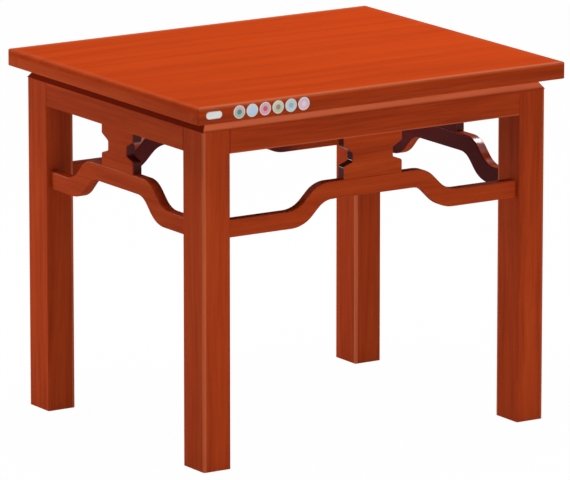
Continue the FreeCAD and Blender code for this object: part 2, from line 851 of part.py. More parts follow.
# Console: round top plate on a cup whose stem slides in the column
top = new_body("console_top")
base = add_round(top, (0, 0, console_bottom), s.console_radius, s.console_thick)
felt_value = felt_top.value
soften(top, base, s.console_round, lambda e: near(e.BoundBox.ZMin, felt_value) and near(e.BoundBox.ZMax, felt_value))
opening = s.window_radius - s.window_ledge
add_round(top, (0, 0, console_bottom), opening, s.console_thick, cut=True)
seat = felt_top - s.window_thick
dice_outer = opening + s.console_wall
cup_inner = s.console_body_radius - s.console_wall
button_line = (dice_outer + cup_inner) / 2
add_round(top, (0, 0, seat), s.window_radius + s.slide_gap, s.window_thick, cut=True)
button_hole = s.button_radius + s.slide_gap
for sign in (-1, 1):
    add_round(top, (0, button_line * sign, console_bottom), button_hole, s.console_thick, cut=True)
keep("console_top", top)

cup = new_body("console_body")
cup_floor = cup_bottom + s.console_wall
add_round(cup, (0, 0, cup_bottom), s.console_body_radius, s.console_body_depth)
add_round(cup, (0, 0, cup_floor), cup_inner, s.console_body_depth - s.console_wall, cut=True)
add_round(cup, (0, 0, cup_floor), dice_outer, s.console_body_depth - s.console_wall)
dice_level = console_bottom - s.dice_depth
add_round(cup, (0, 0, dice_level), opening, console_bottom - dice_level, cut=True)
stem_bottom = tray_floor + s.console_stem_gap
add_round(cup, (0, 0, stem_bottom), s.console_stem_radius, cup_bottom - stem_bottom)
keep("console_body", cup)

window = new_body("dice_window")
add_round(window, (0, 0, seat), s.window_radius, s.window_thick)
keep("dice_window", window)

dice = []
for sign in (-1, 1):
    body = new_body("Die")
    edge = s.die_edge / 2
    middle_x = s.die_spacing / 2 * sign
    middle_y = s.die_spacing / 4 * sign
    base = add_box(body, (middle_x - edge, middle_y - edge, dice_level),
                   (middle_x + edge, middle_y + edge, dice_level + s.die_edge))
    soften(body, base, s.die_round, lambda e: True)
    dice.append(body)
group("dice", dice)

for label, sign in (("dice_button", -1), ("lift_button", 1)):
    body = new_body(label)
    crown = felt_top + s.button_proud
    foot = crown - s.button_height
    base = add_round(body, (0, button_line * sign, foot), s.button_radius, s.button_height)
    crown_value = crown.value
    soften(
        body, base, s.console_round,
        lambda e: near(e.BoundBox.ZMin, crown_value) and near(e.BoundBox.ZMax, crown_value),
    )
    add_round(body, (0, button_line * sign, foot), s.button_flange_radius, s.button_flange_thick)
    keep(label, body)

# Tile lifts: a carriage on two guide posts and a drive rod, one for each side
carriage_bottom = felt_top - s.lift_thick
post_length = carriage_bottom - tray_floor - s.lift_travel - s.lift_floor_gap
guide_height = carriage_bottom - s.lift_travel - s.lift_stop_gap - tray_floor
wells = {
    "front": (180, well_long),
    "right": (270, well_short),
    "rear": (0, well_long),
    "left": (90, well_short),
}
actuators = []
guides = []
for name, (turn, offset) in wells.items():
    carriage = new_body(f"lift_carriage_{name}")
    reach = s.lift_length / 2
    side = s.lift_width / 2
    add_box(carriage, (-reach, offset - side, carriage_bottom), (reach, offset + side, felt_top))
    foot = carriage_bottom - post_length
    for sign in (-1, 1):
        add_round(carriage, (s.post_spacing / 2 * sign, offset, foot), s.post_radius, post_length)
    add_round(carriage, (0, offset, foot), s.rod_radius, post_length)
    place(carriage, (0, 0, 0), turn)
    keep(f"lift_carriage_{name}", carriage)

    actuator = new_body("Actuator")
    add_round(actuator, (0, offset, tray_floor), s.actuator_radius, guide_height)
    add_round(actuator, (0, offset, tray_floor), s.rod_radius + s.slide_gap, guide_height, cut=True)
    place(actuator, (0, 0, 0), turn)
    actuators.append(actuator)
    for sign in (-1, 1):
        guide = new_body("Guide")
        spot = (s.post_spacing / 2 * sign, offset, tray_floor)
        add_round(guide, spot, s.guide_radius, guide_height)
        add_round(guide, spot, s.post_radius + s.slide_gap, guide_height, cut=True)
        place(guide, (0, 0, 0), turn)
        guides.append(guide)
group("lift_actuators", actuators)
group("lift_guides", guides)

# Pickup wheels at the drum ports, their motors and the chutes behind them
motors = []
chutes = []
corners = {"front_left": 225, "front_right": 315, "rear_right": 45, "rear_left": 135}
axle_level = tray_floor + s.pickup_level
pickup_line = s.drum_radius + s.drum_wall_thick + s.pickup_wall_gap + s.pickup_radius
chute_start = pickup_line + s.pickup_radius + s.chute_gap
for name, turn in corners.items():
    pickup = new_body(f"pickup_wheel_{name}")
    back = -s.pickup_width / 2
    add_round(pickup, (pickup_line, back, axle_level), s.pickup_radius, s.pickup_width, axis="y")
    pickup_bore = s.pickup_shaft_radius + s.running_gap
    add_round(pickup, (pickup_line, back, axle_level), pickup_bore, s.pickup_width, cut=True, axis="y")
    place(pickup, (0, 0, 0), turn)
    keep(f"pickup_wheel_{name}", pickup)

    body = new_body("PickupMotor")
    start = s.pickup_width / 2 + s.pickup_gap
    spot = (pickup_line, start, axle_level)
    add_round(body, spot, s.pickup_motor_radius, s.pickup_motor_length, axis="y")
    foot = s.pickup_foot / 2
    foot_low = (pickup_line - foot, start + s.pickup_gap, tray_floor)
    foot_high = (pickup_line + foot, start + s.pickup_motor_length - s.pickup_gap, axle_level)
    add_box(body, foot_low, foot_high)
    add_round(body, (pickup_line, back, axle_level), s.pickup_shaft_radius, start - back, axis="y")
    place(body, (0, 0, 0), turn)
    motors.append(body)

    body = new_body("Chute")
    side = s.chute_width / 2
    level = tray_floor + s.chute_level
    add_box(body, (chute_start, -side, level - s.chute_thick), (chute_start + s.chute_length, side, level))
    fence = chute_start + s.chute_fence_length
    for sign in (-1, 1):
        low_y, high_y = slab(sign, side, s.chute_thick)
        add_box(body, (chute_start, low_y, level), (fence, high_y, level + s.chute_fence_height))
    foot = s.chute_foot / 2
    add_box(body, (fence - s.chute_foot, -foot, tray_floor), (fence, foot, level - s.chute_thick))
    place(body, (0, 0, 0), turn)
    chutes.append(body)
group("pickup_motors", motors)
group("tile_chutes", chutes)

# Power supply under the deck on the right, with its cable gland and rocker switch
supply = new_body("power_supply")
supply_half = s.supply_width / 2
supply_side = s.supply_length / 2
supply_bottom = deck_bottom - s.supply_height
base = add_box(supply, (supply_x - supply_half, -supply_side, supply_bottom),
               (supply_x + supply_half, supply_side, deck_bottom))
soften(supply, base, s.supply_round, lambda e: along(e, "z"))
gland_y = s.gland_inset - supply_side
add_round(supply, (supply_x, gland_y, supply_bottom), s.gland_bore_radius, s.gland_length, cut=True)
switch_y = supply_side - s.switch_inset
switch_axle = supply_bottom + s.switch_height / 2 - s.switch_proud
pocket_x = s.switch_width / 2 + s.switch_gap
pocket_y = s.switch_length / 2 + s.switch_gap
pocket_top = switch_axle + s.switch_height / 2 + s.switch_gap * 2
add_box(supply, (supply_x - pocket_x, switch_y - pocket_y, supply_bottom),
        (supply_x + pocket_x, switch_y + pocket_y, pocket_top), cut=True)
axle_half = pocket_x + s.switch_axle_length
axle_hole = s.switch_axle_radius + s.running_gap
add_round(supply, (supply_x - axle_half - s.slide_gap, switch_y, switch_axle),
          axle_hole, (axle_half + s.slide_gap) * 2, cut=True, axis="x")
keep("power_supply", supply)

gland = new_body("cable_gland")
gland_bottom = supply_bottom - s.gland_length
add_round(gland, (supply_x, gland_y, gland_bottom), s.gland_radius, s.gland_length)
add_round(gland, (supply_x, gland_y, gland_bottom), s.gland_bore_radius, s.gland_length, cut=True)
keep("cable_gland", gland)

rocker = new_body("power_switch")
low = (supply_x - s.switch_width / 2, switch_y - s.switch_length / 2, switch_axle - s.switch_height / 2)
high = (supply_x + s.switch_width / 2, switch_y + s.switch_length / 2, switch_axle + s.switch_height / 2)
add_box(rocker, low, high)
add_round(rocker, (supply_x - axle_half, switch_y, switch_axle),
          s.switch_axle_radius, axle_half * 2, axis="x")
keep("power_switch", rocker)

# Control board on posts under the deck on the left
board = new_body("Board")
board_x = -supply_x
board_half = s.board_width / 2
board_side = s.board_length / 2
board_top = deck_bottom - s.board_drop
board_bottom = board_top - s.board_thick
add_box(board, (board_x - board_half, -board_side, board_bottom), (board_x + board_half, board_side, board_top))
for sign_x in (-1, 1):
    for sign_y in (-1, 1):
        post_x = board_x + (board_half - s.board_post_inset) * sign_x
        post_y = (board_side - s.board_post_inset) * sign_y
        add_round(board, (post_x, post_y, board_top), s.board_post_radius, s.board_drop)
chips = [board]
chip_pitch_share = 1.4
for index, height_share in enumerate((1.0, 0.7, 0.45)):
    chip = new_body("Chip")
    middle_y = s.chip_length * (chip_pitch_share * (index - 1))
    low = (board_x - s.chip_width / 2, middle_y - s.chip_length / 2, board_bottom - s.chip_height * height_share)
    add_box(chip, low, (board_x + s.chip_width / 2, middle_y + s.chip_length / 2, board_bottom))
    chips.append(chip)
group("control_board", chips)

# Check every object, then write one file for each piece
doc.recompute()
wrong = [item.Name for item in doc.Objects if "Invalid" in item.State or "Error" in item.State]
for label, thing in nodes.items():
    if thing.Shape.isNull() or not thing.Shape.isValid() or not thing.Shape.Solids:
        wrong.append(label)
if wrong:
    raise SystemExit(f"not built: {wrong}")
os.makedirs("parts", exist_ok=True)
for label, thing in nodes.items():
    thing.Shape.exportStep(f"parts/{label}.step")
print(len(nodes), "pieces written")
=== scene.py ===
import bmesh
import bpy
import math
import numpy as np
from mathutils import Matrix, Vector


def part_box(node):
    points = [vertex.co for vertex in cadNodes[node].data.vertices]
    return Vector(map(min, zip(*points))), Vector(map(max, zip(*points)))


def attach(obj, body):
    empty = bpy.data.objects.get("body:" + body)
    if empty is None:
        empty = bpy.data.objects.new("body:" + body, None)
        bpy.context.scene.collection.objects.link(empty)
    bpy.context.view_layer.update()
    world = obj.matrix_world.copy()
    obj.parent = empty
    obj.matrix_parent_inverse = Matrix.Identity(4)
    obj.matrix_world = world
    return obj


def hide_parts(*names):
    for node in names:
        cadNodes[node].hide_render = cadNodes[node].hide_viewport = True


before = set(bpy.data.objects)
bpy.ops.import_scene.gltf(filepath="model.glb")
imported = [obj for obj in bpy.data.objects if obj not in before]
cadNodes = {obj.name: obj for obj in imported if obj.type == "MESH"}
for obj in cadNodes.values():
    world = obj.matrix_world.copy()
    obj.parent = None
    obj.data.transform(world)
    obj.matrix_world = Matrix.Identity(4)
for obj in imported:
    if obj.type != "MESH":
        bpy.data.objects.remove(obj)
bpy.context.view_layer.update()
print("frame loaded:", len(cadNodes), "pieces")

# camera of the photograph in metres and degrees, and its lens in pixels of the photograph
photoCamera = {
    "target": (0.0, 0.0, 0.38),
    "azimuth": 32.864,
    "elevation": 12.646,
    "distance": 14.093,
    "focalPixels": 6780.9,
    "imageWidth": 570.0,
    "raise": 5.37,
    "sensorWidth": 36.0,
    "clipEnd": 100.0,
}


def makeCamera(setup):
    # position on a sphere round the target, looking at it, upright
    turn = math.radians(setup["azimuth"])
    rise = math.radians(setup["elevation"])
    away = Vector((-math.sin(turn) * math.cos(rise), -math.cos(turn) * math.cos(rise), math.sin(rise)))
    lens = bpy.data.cameras.new("photoCamera")
    lens.sensor_width = setup["sensorWidth"]
    lens.lens = setup["focalPixels"] / setup["imageWidth"] * lens.sensor_width
    lens.shift_y = -setup["raise"] / setup["imageWidth"]
    lens.clip_end = setup["clipEnd"]
    holder = bpy.data.objects.new("photoCamera", lens)
    bpy.context.scene.collection.objects.link(holder)
    side = Vector((math.cos(turn), -math.sin(turn), 0.0))
    top = away.cross(side)
    spot = Vector(setup["target"]) + away * setup["distance"]
    holder.matrix_world = Matrix((
        (side.x, top.x, away.x, spot.x),
        (side.y, top.y, away.y, spot.y),
        (side.z, top.z, away.z, spot.z),
        (0, 0, 0, 1),
    ))
    bpy.context.scene.camera = holder


makeCamera(photoCamera)


class Sock:
    # one output of a node; sums and products of values add Math nodes
    def __init__(self, tree, socket):
        self.tree = tree
        self.socket = socket

    def node(self, kind, settings=None, values=None, out=0):
        made = self.tree.nodes.new("ShaderNode" + kind)
        for key, value in (settings or {}).items():
            if key == "stops":
                self.setStops(made.color_ramp, value)
            else:
                setattr(made, key, value)
        for key, value in (values or {}).items():
            self.feed(made.inputs[key], value)
        return Sock(self.tree, made.outputs[out]) if made.outputs else None

    def setStops(self, ramp, stops):
        while len(ramp.elements) < len(stops):
            ramp.elements.new(0.5)
        for element, (place, tone) in zip(ramp.elements, stops):
            element.position = place
            element.color = (*tone, 1.0)

    def feed(self, socket, value):
        if isinstance(value, Sock):
            self.tree.links.new(value.socket, socket)
        else:
            socket.default_value = value

    def maths(self, operation, first, second=0.0, third=0.0):
        return self.node("Math", {"operation": operation}, {0: first, 1: second, 2: third})

    def __add__(self, other):
        return self.maths("ADD", self, other)

    def __radd__(self, other):
        return self.maths("ADD", other, self)

    def __sub__(self, other):
        return self.maths("SUBTRACT", self, other)

    def __rsub__(self, other):
        return self.maths("SUBTRACT", other, self)

    def __mul__(self, other):
        return self.maths("MULTIPLY", self, other)

    def __rmul__(self, other):
        return self.maths("MULTIPLY", other, self)

    def __pow__(self, other):
        return self.maths("POWER", self, other)

    def __abs__(self):
        return self.maths("ABSOLUTE", self)

    def smooth(self, low, high):
        # 0 below low, 1 above high, eased between
        settings = {"interpolation_type": "SMOOTHSTEP", "clamp": True}
        return self.node("MapRange", settings, {"Value": self, "From Min": low, "From Max": high})

    def blend(self, first, second):
        # colour between two colours, by this value
        values = {"Factor": self, 6: first, 7: second}
        return self.node("Mix", {"data_type": "RGBA"}, values, out=2)

    def noise(self, scale, detail, roughness, out=0):
        values = {"Vector": self, "Scale": scale, "Detail": detail, "Roughness": roughness}
        return self.node("TexNoise", None, values, out)

    def bump(self, strength, distance):
        return self.node("Bump", None, {"Strength": strength, "Distance": distance, "Height": self})

    def parts(self):
        split = self.node("SeparateXYZ", None, {0: self})
        return [Sock(self.tree, output) for output in split.socket.node.outputs]


def colour(red, green, blue):
    # screen values 0 to 255 as linear light, by the sRGB curve
    steps = np.array([red, green, blue]) / 255.0
    light = np.where(steps <= 0.04045, steps / 12.92, ((steps + 0.055) / 1.055) ** 2.4)
    return (*[float(value) for value in light], 1.0)


def newMaterial(name, **constants):
    # Principled material with its constant sockets set; returns it with its shader and object coordinates
    material = bpy.data.materials.new(name)
    material.use_nodes = True
    tree = material.node_tree
    shader = [item for item in tree.nodes if item.type == "BSDF_PRINCIPLED"][0]
    for key, value in constants.items():
        shader.inputs[key.replace("_", " ")].default_value = value
    spot = tree.nodes.new("ShaderNodeTexCoord")
    return material, shader, Sock(tree, spot.outputs["Object"])


def join(shader, **links):
    # values linked to the shader's sockets; an underscore in a name stands for a space
    for key, value in links.items():
        value.feed(shader.inputs[key.replace("_", " ")], value)


def boxOf(name):
    # low and high corner of a CAD piece, in metres to the micrometre
    return [[round(float(value), 6) for value in corner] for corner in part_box(name)]


def dress(material, *names):
    # CAD pieces shown as they are, in this material
    for name in names:
        slots = cadNodes[name].data.materials
        slots.clear()
        slots.append(material)


# lacquered timber, dark red under an orange gloss, grain along one axis
# here and below, a noise is given by its scale, detail and roughness
timber = {
    "dark": colour(150, 51, 19),
    "middle": colour(172, 61, 23),
    "light": colour(184, 71, 28),
    # the next five tones are painted light: highlights on arrises and bevels, then painted shade in the
    # short bevels and on the inner faces and sawn edges of the rails
    "arrisHighlightTone": colour(226, 128, 88),
    "topHighlightTone": colour(180, 98, 66),
    "bevelHighlightTone": colour(240, 128, 84),
    "railShadeTone": colour(92, 34, 34),
    "shade": colour(124, 38, 18),
    "darkAt": 0.36, "middleAt": 0.5, "lightAt": 0.66,
    "streaks": (26.0, 3.0, 0.6), "fibres": (170.0, 2.0, 0.6), "streakShare": 0.65, "stretch": 0.035,
    "wander": (2.2, 2.0, 0.5), "wanderReach": 0.03,
    "pores": (620.0, 1.0, 0.5), "poreEdge": (0.64, 0.74), "poreShare": 0.45,
    "maskLeast": 0.55, "maskGrain": 0.9,
    "rough": 0.34, "roughGrain": 0.12,
    "fibreRelief": 0.6, "bump": 0.06, "bumpDepth": 0.0004,
    "coat": 0.06, "coatRoughness": 0.16, "coatRefraction": 1.5,
}
panelLow, panelHigh = boxOf("cover_panel")
legLow, legHigh = boxOf("leg_front_left")
rimFoot = boxOf("rim_front")[0][2]
strutLow, strutHigh = boxOf("strut_front")
sideLow, sideHigh = boxOf("strut_right")
halfPanel = (panelHigh[0], panelHigh[1])
halfFrame = (-legLow[0], -legLow[1])
legSize = (legHigh[0] - legLow[0], legHigh[1] - legLow[1])


def grainOf(spot, axis, setup, shift):
    # noise stretched along the grain: wide streaks, fine fibres, short dark pores
    long = [1.0, 1.0, 1.0]
    long["xyz".index(axis)] = setup["stretch"]
    wander = spot.noise(*setup["wander"], out=1)
    drift = (setup["wanderReach"],) * 3
    bent = spot.node("VectorMath", {"operation": "MULTIPLY_ADD"}, {0: wander, 1: drift, 2: spot})
    grain = spot.node("Mapping", None, {"Vector": bent, "Location": shift, "Scale": long})
    wide = grain.noise(*setup["streaks"])
    fine = grain.noise(*setup["fibres"])
    pore = grain.noise(*setup["pores"])
    figure = wide * setup["streakShare"] + fine * (1.0 - setup["streakShare"])
    return figure, fine, pore.smooth(*setup["poreEdge"])


def makeTimber(name, axis, setup, shift, calm=1.0, masks=None, polish=None):
    # masks give a named colour its share at each place, calm lowers the contrast of the grain
    # and polish gives the weight of the clear coat at each place
    material, shader, spot = newMaterial(
        name, Specular_IOR_Level=0.0, Coat_IOR=setup["coatRefraction"], Coat_Weight=setup["coat"],
        Coat_Roughness=setup["coatRoughness"])
    figure, fine, holes = grainOf(spot, axis, setup, shift)
    place = spot.parts()
    if calm < 1.0:
        figure = (figure - setup["middleAt"]) * calm + setup["middleAt"]
    stops = [(setup[tone + "At"], setup[tone][:3]) for tone in ("dark", "middle", "light")]
    wood = figure.node("ValToRGB", {"stops": stops}, {0: figure})
    tint = (holes * (setup["poreShare"] * calm)).blend(wood, setup["dark"])
    for tone, share in (masks or {}).items():
        strength = setup["maskLeast"] + figure * setup["maskGrain"]
        tint = (share(*place) * strength).blend(tint, setup[tone])
    relief = fine * setup["fibreRelief"] - holes
    join(shader, Base_Color=tint, Roughness=setup["rough"] + fine * setup["roughGrain"],
         Normal=relief.bump(setup["bump"], setup["bumpDepth"]))
    if polish:
        join(shader, Coat_Weight=polish(*place))
    return material


def inside(half, value):
    # distance in from the outer face on either side
    return half - abs(value)


def nearer(first, second):
    return first.maths("MINIMUM", first, second)


def farther(first, second):
    return first.maths("MAXIMUM", first, second)


# painted highlights and painted shade: where each fades, in metres from its edge, and the share of its
# colour
paintedLight = {
    "corner": (0.0040, 0.0075), "outerShare": 0.36, "innerShare": 0.55,
    "arris": (0.0024, 0.0066), "flatShare": 0.35, "mitre": 0.002, "allSides": 0.15, "longSides": 0.47,
    "bevelStart": 0.006, "bevelFade": (0.011, 0.017), "bevelEnd": (0.0175, 0.0190), "fadeShare": 0.6,
    "shadeStart": 0.001, "shadeEnd": (0.024, 0.028),
    "foot": (0.0015, 0.004), "footShare": 0.26,
}


def cornerHighlight(x, y, z):
    # painted highlight on the rounded outer and inner corners of each leg
    outX, outY = inside(halfFrame[0], x), inside(halfFrame[1], y)
    outer = 1.0 - farther(outX, outY).smooth(*paintedLight["corner"])
    inner = 1.0 - farther(legSize[0] - outX, legSize[1] - outY).smooth(*paintedLight["corner"])
    return outer * paintedLight["outerShare"] + inner * paintedLight["innerShare"]


def topEdgeHighlight(x, y, z):
    # painted highlight on the arris round the top of the cover, wider on the flat, most along the long sides
    outX, outY = inside(halfPanel[0], x), inside(halfPanel[1], y)
    edge = farther(nearer(outX, outY) * paintedLight["flatShare"], panelHigh[2] - z)
    longSide = 1.0 - (outY - outX).smooth(-paintedLight["mitre"], paintedLight["mitre"])
    return (1.0 - edge.smooth(*paintedLight["arris"])) * (paintedLight["allSides"] + paintedLight["longSides"] * longSide)


def bevelHighlight(x, y, z):
    # painted highlight along the middle of the bevel of the long rims, fading towards the cover above
    rise = z - rimFoot
    upper = rise.smooth(*paintedLight["bevelFade"]) * paintedLight["fadeShare"]
    upper = upper + rise.smooth(*paintedLight["bevelEnd"]) * (1.0 - paintedLight["fadeShare"])
    return rise.smooth(0.0, paintedLight["bevelStart"]) * (1.0 - upper)


def bevelShade(x, y, z):
    # painted shade in the bevel of the short rims, under the cover's overhang
    rise = z - rimFoot
    return rise.smooth(-paintedLight["shadeStart"], paintedLight["shadeStart"]) * (1.0 - rise.smooth(*paintedLight["shadeEnd"]))


def footHighlight(x, y, z):
    # painted highlight on the lower arris of the long aprons, level with the top of the struts
    low = z - strutHigh[2]
    return (1.0 - low.smooth(*paintedLight["foot"])) * paintedLight["footShare"]


# stretchers and struts: depths of their faces in from the frame, bends of the stretchers, where the painted
# shade fades, and gloss
rails = {
    "long": {"near": halfFrame[1] + strutLow[1], "far": halfFrame[1] + strutHigh[1], "bend": 0.157},
    "cross": {"near": halfFrame[0] - sideHigh[0], "far": halfFrame[0] - sideLow[0], "bend": 0.150},
    "strutFoot": strutLow[2], "overFoot": (0.0005, 0.0015),
    "cut": (0.0012, 0.0022), "face": (0.0015, 0.0005), "fade": (0.19, 0.25),
    "halfBend": 0.034, "bendSoft": 0.004, "bendRise": (-0.033, -0.025),
    "bendGloss": 0.9, "edgeGloss": 0.25, "plain": 0.06,
}


def cutFaces(depth, rail):
    # sawn edges, between the outer and the inner face
    start, end = rails["cut"]
    behind = depth.smooth(rail["near"] + start, rail["near"] + end)
    return behind * (1.0 - depth.smooth(rail["far"] - end, rail["far"] - start))


def overStretcher(z):
    return (z - rails["strutFoot"]).smooth(*rails["overFoot"])


def railShade(depth, z, rail, inner):
    # painted shade on the inner faces, and on the sawn edges of the struts above the stretchers
    start, end = rails["face"]
    face = depth.smooth(rail["far"] - start, rail["far"] - end)
    return farther(face * inner, cutFaces(depth, rail) * overStretcher(z))


def railGloss(depth, across, z, rail):
    # thick lacquer on the upper half of the bends and on the sawn edges of the struts
    away = abs(abs(across) - rail["bend"])
    bends = 1.0 - away.smooth(rails["halfBend"] - rails["bendSoft"], rails["halfBend"] + rails["bendSoft"])
    upper = (z - rails["strutFoot"]).smooth(*rails["bendRise"])
    strut = overStretcher(z)
    bendShare = bends * upper * (1.0 - strut) * (rails["bendGloss"] - rails["plain"])
    edgeShare = strut * (rails["edgeGloss"] - rails["plain"])
    return rails["plain"] + cutFaces(depth, rail) * (bendShare + edgeShare)


def longShade(x, y, z):
    # the painted shade on the inner faces of the long rails fades out towards their ends
    inner = 1.0 - abs(x).smooth(*rails["fade"])
    return railShade(inside(halfFrame[1], y), z, rails["long"], inner)


def crossShade(x, y, z):
    return railShade(inside(halfFrame[0], x), z, rails["cross"], 1.0)


def longGloss(x, y, z):
    return railGloss(inside(halfFrame[1], y), x, z, rails["long"])


def crossGloss(x, y, z):
    return railGloss(inside(halfFrame[0], x), y, z, rails["cross"])


# places in the noise that the pieces of each direction are cut from, and the cover's own tones and gloss
longShift = (0.0, 1.3, 2.1)
crossShift = (3.1, 0.0, 1.7)
postShift = (1.9, 2.7, 0.0)
topTones = {
    "dark": colour(150, 49, 14), "middle": colour(172, 58, 17), "light": colour(184, 67, 22), "coat": 0.01,
}
topCalm = 0.5
topTimber = makeTimber(
    "lacquerTop", "x", {**timber, **topTones}, longShift, topCalm, {"topHighlightTone": topEdgeHighlight})
longTimber = makeTimber("lacquerLong", "x", timber, longShift)
crossTimber = makeTimber("lacquerCross", "y", timber, crossShift)
longBevel = makeTimber("lacquerLongBevel", "x", timber, longShift, masks={"bevelHighlightTone": bevelHighlight})
crossBevel = makeTimber("lacquerCrossBevel", "y", timber, crossShift, masks={"shade": bevelShade})
longApron = makeTimber("lacquerLongApron", "x", timber, longShift, masks={"arrisHighlightTone": footHighlight})
longRail = makeTimber(
    "lacquerLongRail", "x", timber, longShift, masks={"railShadeTone": longShade}, polish=longGloss)
crossRail = makeTimber(
    "lacquerCrossRail", "y", timber, crossShift, masks={"railShadeTone": crossShade}, polish=crossGloss)
postTimber = makeTimber("lacquerPost", "z", timber, postShift, masks={"arrisHighlightTone": cornerHighlight})
dress(topTimber, "cover_panel")
dress(longTimber, "cover_edge_front", "cover_edge_rear")
dress(crossTimber, "cover_edge_left", "cover_edge_right", "apron_left", "apron_right")
dress(longBevel, "rim_front", "rim_rear")
dress(crossBevel, "rim_left", "rim_right")
dress(longApron, "apron_front", "apron_rear")
dress(longRail, "stretcher_front", "stretcher_rear", "strut_front", "strut_rear")
dress(crossRail, "stretcher_left", "stretcher_right", "strut_left", "strut_right")
dress(postTimber, "leg_front_left", "leg_front_right", "leg_rear_left", "leg_rear_right")
print("timber done")


# new pieces: points closer than mergeGap metres become one, and faces that meet at more than
# sharpAngle degrees keep a sharp edge
mergeGap = 1e-7
sharpAngle = 40.0


def gridFaces(rows, columns, wrap):
    # quads of a grid of points in row order, joined round when wrap is true
    low = np.arange(rows - 1)[:, None] * columns
    first = np.arange(columns if wrap else columns - 1)[None, :]
    after = (first + 1) % columns
    corners = [low + first, low + after, low + columns + after, low + columns + first]
    return np.stack(corners, -1).reshape(-1, 4)


def repeated(faces, count, size):
    # faces of one shape for count copies of it, each copy having size points
    starts = np.arange(count)[:, None, None] * size
    return (faces + starts).reshape(-1, faces.shape[1]).tolist()


def addPiece(name, points, faces, body, material, replaced, tints=None):
    # mesh from arrays, with its faces turned outwards
    shape = bpy.data.meshes.new(name)
    shape.from_pydata(points.tolist(), [], faces)
    if tints is not None:
        layer = shape.color_attributes.new("tint", "FLOAT_COLOR", "POINT")
        layer.data.foreach_set("color", np.asarray(tints, np.float32).ravel())
    work = bmesh.new()
    work.from_mesh(shape)
    bmesh.ops.remove_doubles(work, verts=work.verts, dist=mergeGap)
    bmesh.ops.recalc_face_normals(work, faces=work.faces)
    work.to_mesh(shape)
    work.free()
    shape.shade_smooth()
    shape.set_sharp_from_angle(angle=math.radians(sharpAngle))
    shape.materials.append(material)
    piece = bpy.data.objects.new(name, shape)
    bpy.context.scene.collection.objects.link(piece)
    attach(piece, body)
    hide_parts(replaced)
    return piece


def turnedShape(profile, steps):
    # profile of (radius, height) from axis to axis turned round z; points, side quads and end fans
    inner = np.array(profile[1:-1])
    angle = np.linspace(0.0, 2.0 * np.pi, steps, endpoint=False)
    ringX = inner[:, :1] * np.cos(angle)
    ringY = inner[:, :1] * np.sin(angle)
    ringZ = np.repeat(inner[:, 1:], steps, axis=1)
    ends = np.array([(0.0, 0.0, profile[0][1]), (0.0, 0.0, profile[-1][1])])
    points = np.concatenate([np.stack([ringX, ringY, ringZ], -1).reshape(-1, 3), ends])
    around = np.arange(steps)
    after = (around + 1) % steps
    tip = len(inner) * steps
    fans = np.concatenate([
        np.stack([after, around, np.full(steps, tip)], -1),
        np.stack([around + tip - steps, after + tip - steps, np.full(steps, tip + 1)], -1),
    ])
    return points, gridFaces(len(inner), steps, True), fans


# stretch of a noise over which one tone turns into the other
toneRange = (0.3, 0.7)

# enamel and bone: a little white clouded into the painted colour
enamel = {
    "cloud": (240.0, 2.0, 0.5), "cloudShare": 0.12, "coatRoughness": 0.05, "white": (1.0, 1.0, 1.0, 1.0),
}


def tintedMaterial(name, roughness, coat):
    # colour painted on the points
    material, shader, spot = newMaterial(
        name, Roughness=roughness, Coat_Weight=coat, Coat_Roughness=enamel["coatRoughness"])
    paint = spot.node("Attribute", {"attribute_name": "tint"})
    cloud = spot.noise(*enamel["cloud"])
    join(shader, Base_Color=(cloud * enamel["cloudShare"]).blend(paint, enamel["white"]))
    return material


# six round enamel badges, plain rings only; zones: 0 middle, 1 two-tone field, 2 edge
badgeLow, badgeHigh = boxOf("round_badges")
badges = {
    "left": badgeLow[0], "faceY": panelLow[1], "height": (badgeLow[2] + badgeHigh[2]) / 2.0,
    "pitch": 0.0307, "radius": 0.0135, "thick": panelLow[1] - badgeLow[1],
    "fall": 0.35, "rim": 0.35, "steps": 48,
    "rings": (0.0, 0.0050, 0.0058, 0.0072, 0.0090, 0.0114, 0.0117, 0.0131, 0.0135),
    "zones": (0, 0, 1, 1, 1, 1, 2, 2, 2, 2, 2),
    "toneSpread": 0.9, "roughness": 0.28, "coat": 0.15,
    "edge": colour(222, 220, 218),
    "upper": [
        colour(216, 178, 186), colour(206, 222, 234), colour(216, 172, 178),
        colour(214, 208, 178), colour(192, 208, 208), colour(212, 190, 216),
    ],
    "lower": [
        colour(148, 186, 168), colour(178, 212, 234), colour(230, 152, 172),
        colour(186, 196, 160), colour(184, 212, 224), colour(234, 188, 198),
    ],
    "middles": [
        colour(58, 128, 94), colour(196, 214, 246), colour(204, 56, 96),
        colour(152, 128, 104), colour(150, 176, 196), colour(240, 212, 222),
    ],
}


def makeBadges(setup):
    # a low dome: height falls with the square of the radius, with a rounded rim
    radius, steps, count = setup["radius"], setup["steps"], len(setup["middles"])
    radii = np.array(setup["rings"])
    heights = setup["thick"] * (1.0 - setup["fall"] * (radii / radius) ** 2)
    heights[-1] = setup["thick"] * setup["rim"]
    profile = list(zip(radii, heights)) + [(radius, 0.0), (0.0, 0.0)]
    points, quads, fans = turnedShape(profile, steps)
    band = np.concatenate([np.repeat(np.arange(1, len(profile) - 1), steps), [0, len(profile) - 1]])
    zone = np.array(setup["zones"])[band][:, None]
    upper, lower, middle = [np.array(setup[key])[:, None] for key in ("upper", "lower", "middles")]
    share = np.clip(0.5 + points[:, 1:2] / radius * setup["toneSpread"], 0.0, 1.0)
    field = lower + (upper - lower) * share
    tints = np.where(zone == 0, middle, np.where(zone == 1, field, setup["edge"]))
    x = setup["left"] + radius + setup["pitch"] * np.arange(count)[:, None] + points[:, 0]
    y = np.tile(setup["faceY"] - points[:, 2], (count, 1))
    z = np.tile(setup["height"] + points[:, 1], (count, 1))
    faces = repeated(quads, count, len(points)) + repeated(fans, count, len(points))
    addPiece("roundBadges", np.stack([x, y, z], -1).reshape(-1, 3), faces, "cover",
             tintedMaterial("badgeEnamel", setup["roughness"], setup["coat"]),
             "round_badges", tints)


makeBadges(badges)

